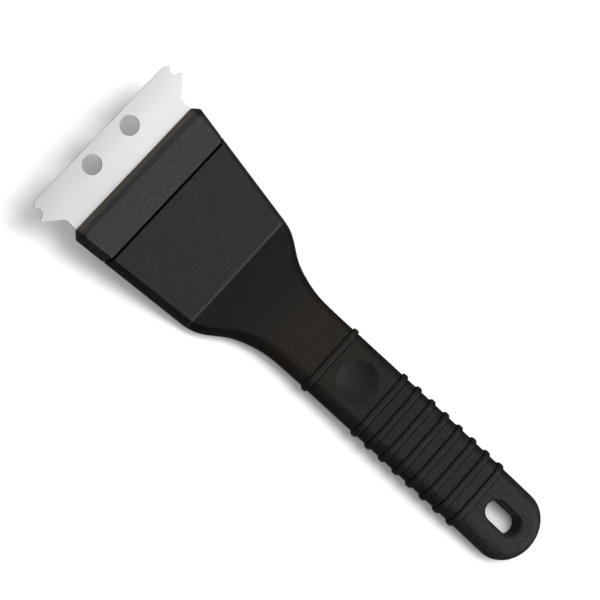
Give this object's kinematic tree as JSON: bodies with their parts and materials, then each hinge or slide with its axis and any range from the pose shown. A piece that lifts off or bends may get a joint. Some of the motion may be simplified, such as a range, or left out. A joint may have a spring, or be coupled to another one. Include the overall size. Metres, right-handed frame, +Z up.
{
  "type": "algae scraper",
  "caption": "Flat paddle-headed hand scraper with a steel blade clamped in its nose, a ribbed arched grip with a thumb dish, and a hang slot.",
  "frame": {"origin": "on the table under the middle of the tool's box, as it lies on the knee behind its head and on the end of its handle", "axes": "+X from the blade towards the handle's end, +Z up out of the face with the thumb dish; the blade's plane is tipped 18.9 degrees about Y, its edge raised"},
  "size_m": [0.2382, 0.08, 0.0321],
  "materials": {
    "shell_plastic": "fine spark-eroded grain, matte",
    "jaw_plastic": "fine spark-eroded grain, matte",
    "blade_steel": "satin stainless",
    "screw_steel": "plain stainless"
  },
  "bodies": {
    "handle": {"upper_shell": "shell_plastic", "lower_shell": "shell_plastic", "shell_screws": "screw_steel"},
    "blade_holder": {"upper_jaw": "jaw_plastic", "lower_jaw": "jaw_plastic", "jaw_nuts": "screw_steel"},
    "blade": {"blade": "blade_steel"},
    "socket_screw_left": {"socket_screw_left": "screw_steel"},
    "socket_screw_right": {"socket_screw_right": "screw_steel"},
    "jaw_screw_left": {"jaw_screw_left": "screw_steel"},
    "jaw_screw_middle": {"jaw_screw_middle": "screw_steel"},
    "jaw_screw_right": {"jaw_screw_right": "screw_steel"}
  },
  "joints": [
    {"name": "holder_slide", "type": "slide", "parent": "handle", "child": "blade_holder", "axis": [-0.9461, 0, 0.3239], "range_m": [0, 0.022]},
    {"name": "blade_slide", "type": "slide", "parent": "blade_holder", "child": "blade", "axis": [-0.9461, 0, 0.3239], "range_m": [0, 0.016]},
    {"name": "socket_screw_left_turn", "type": "hinge", "parent": "handle", "child": "socket_screw_left", "pos_m": [-0.07228, 0.018, 0.0157], "axis": [0.3239, 0, 0.9461], "continuous": true},
    {"name": "socket_screw_right_turn", "type": "hinge", "parent": "handle", "child": "socket_screw_right", "pos_m": [-0.07228, -0.018, 0.0157], "axis": [0.3239, 0, 0.9461], "continuous": true},
    {"name": "jaw_screw_left_turn", "type": "hinge", "parent": "blade_holder", "child": "jaw_screw_left", "pos_m": [-0.09148, 0.022, 0.02228], "axis": [0.3239, 0, 0.9461], "continuous": true},
    {"name": "jaw_screw_middle_turn", "type": "hinge", "parent": "blade_holder", "child": "jaw_screw_middle", "pos_m": [-0.09148, 0, 0.02228], "axis": [0.3239, 0, 0.9461], "continuous": true},
    {"name": "jaw_screw_right_turn", "type": "hinge", "parent": "blade_holder", "child": "jaw_screw_right", "pos_m": [-0.09148, -0.022, 0.02228], "axis": [0.3239, 0, 0.9461], "continuous": true}
  ]
}
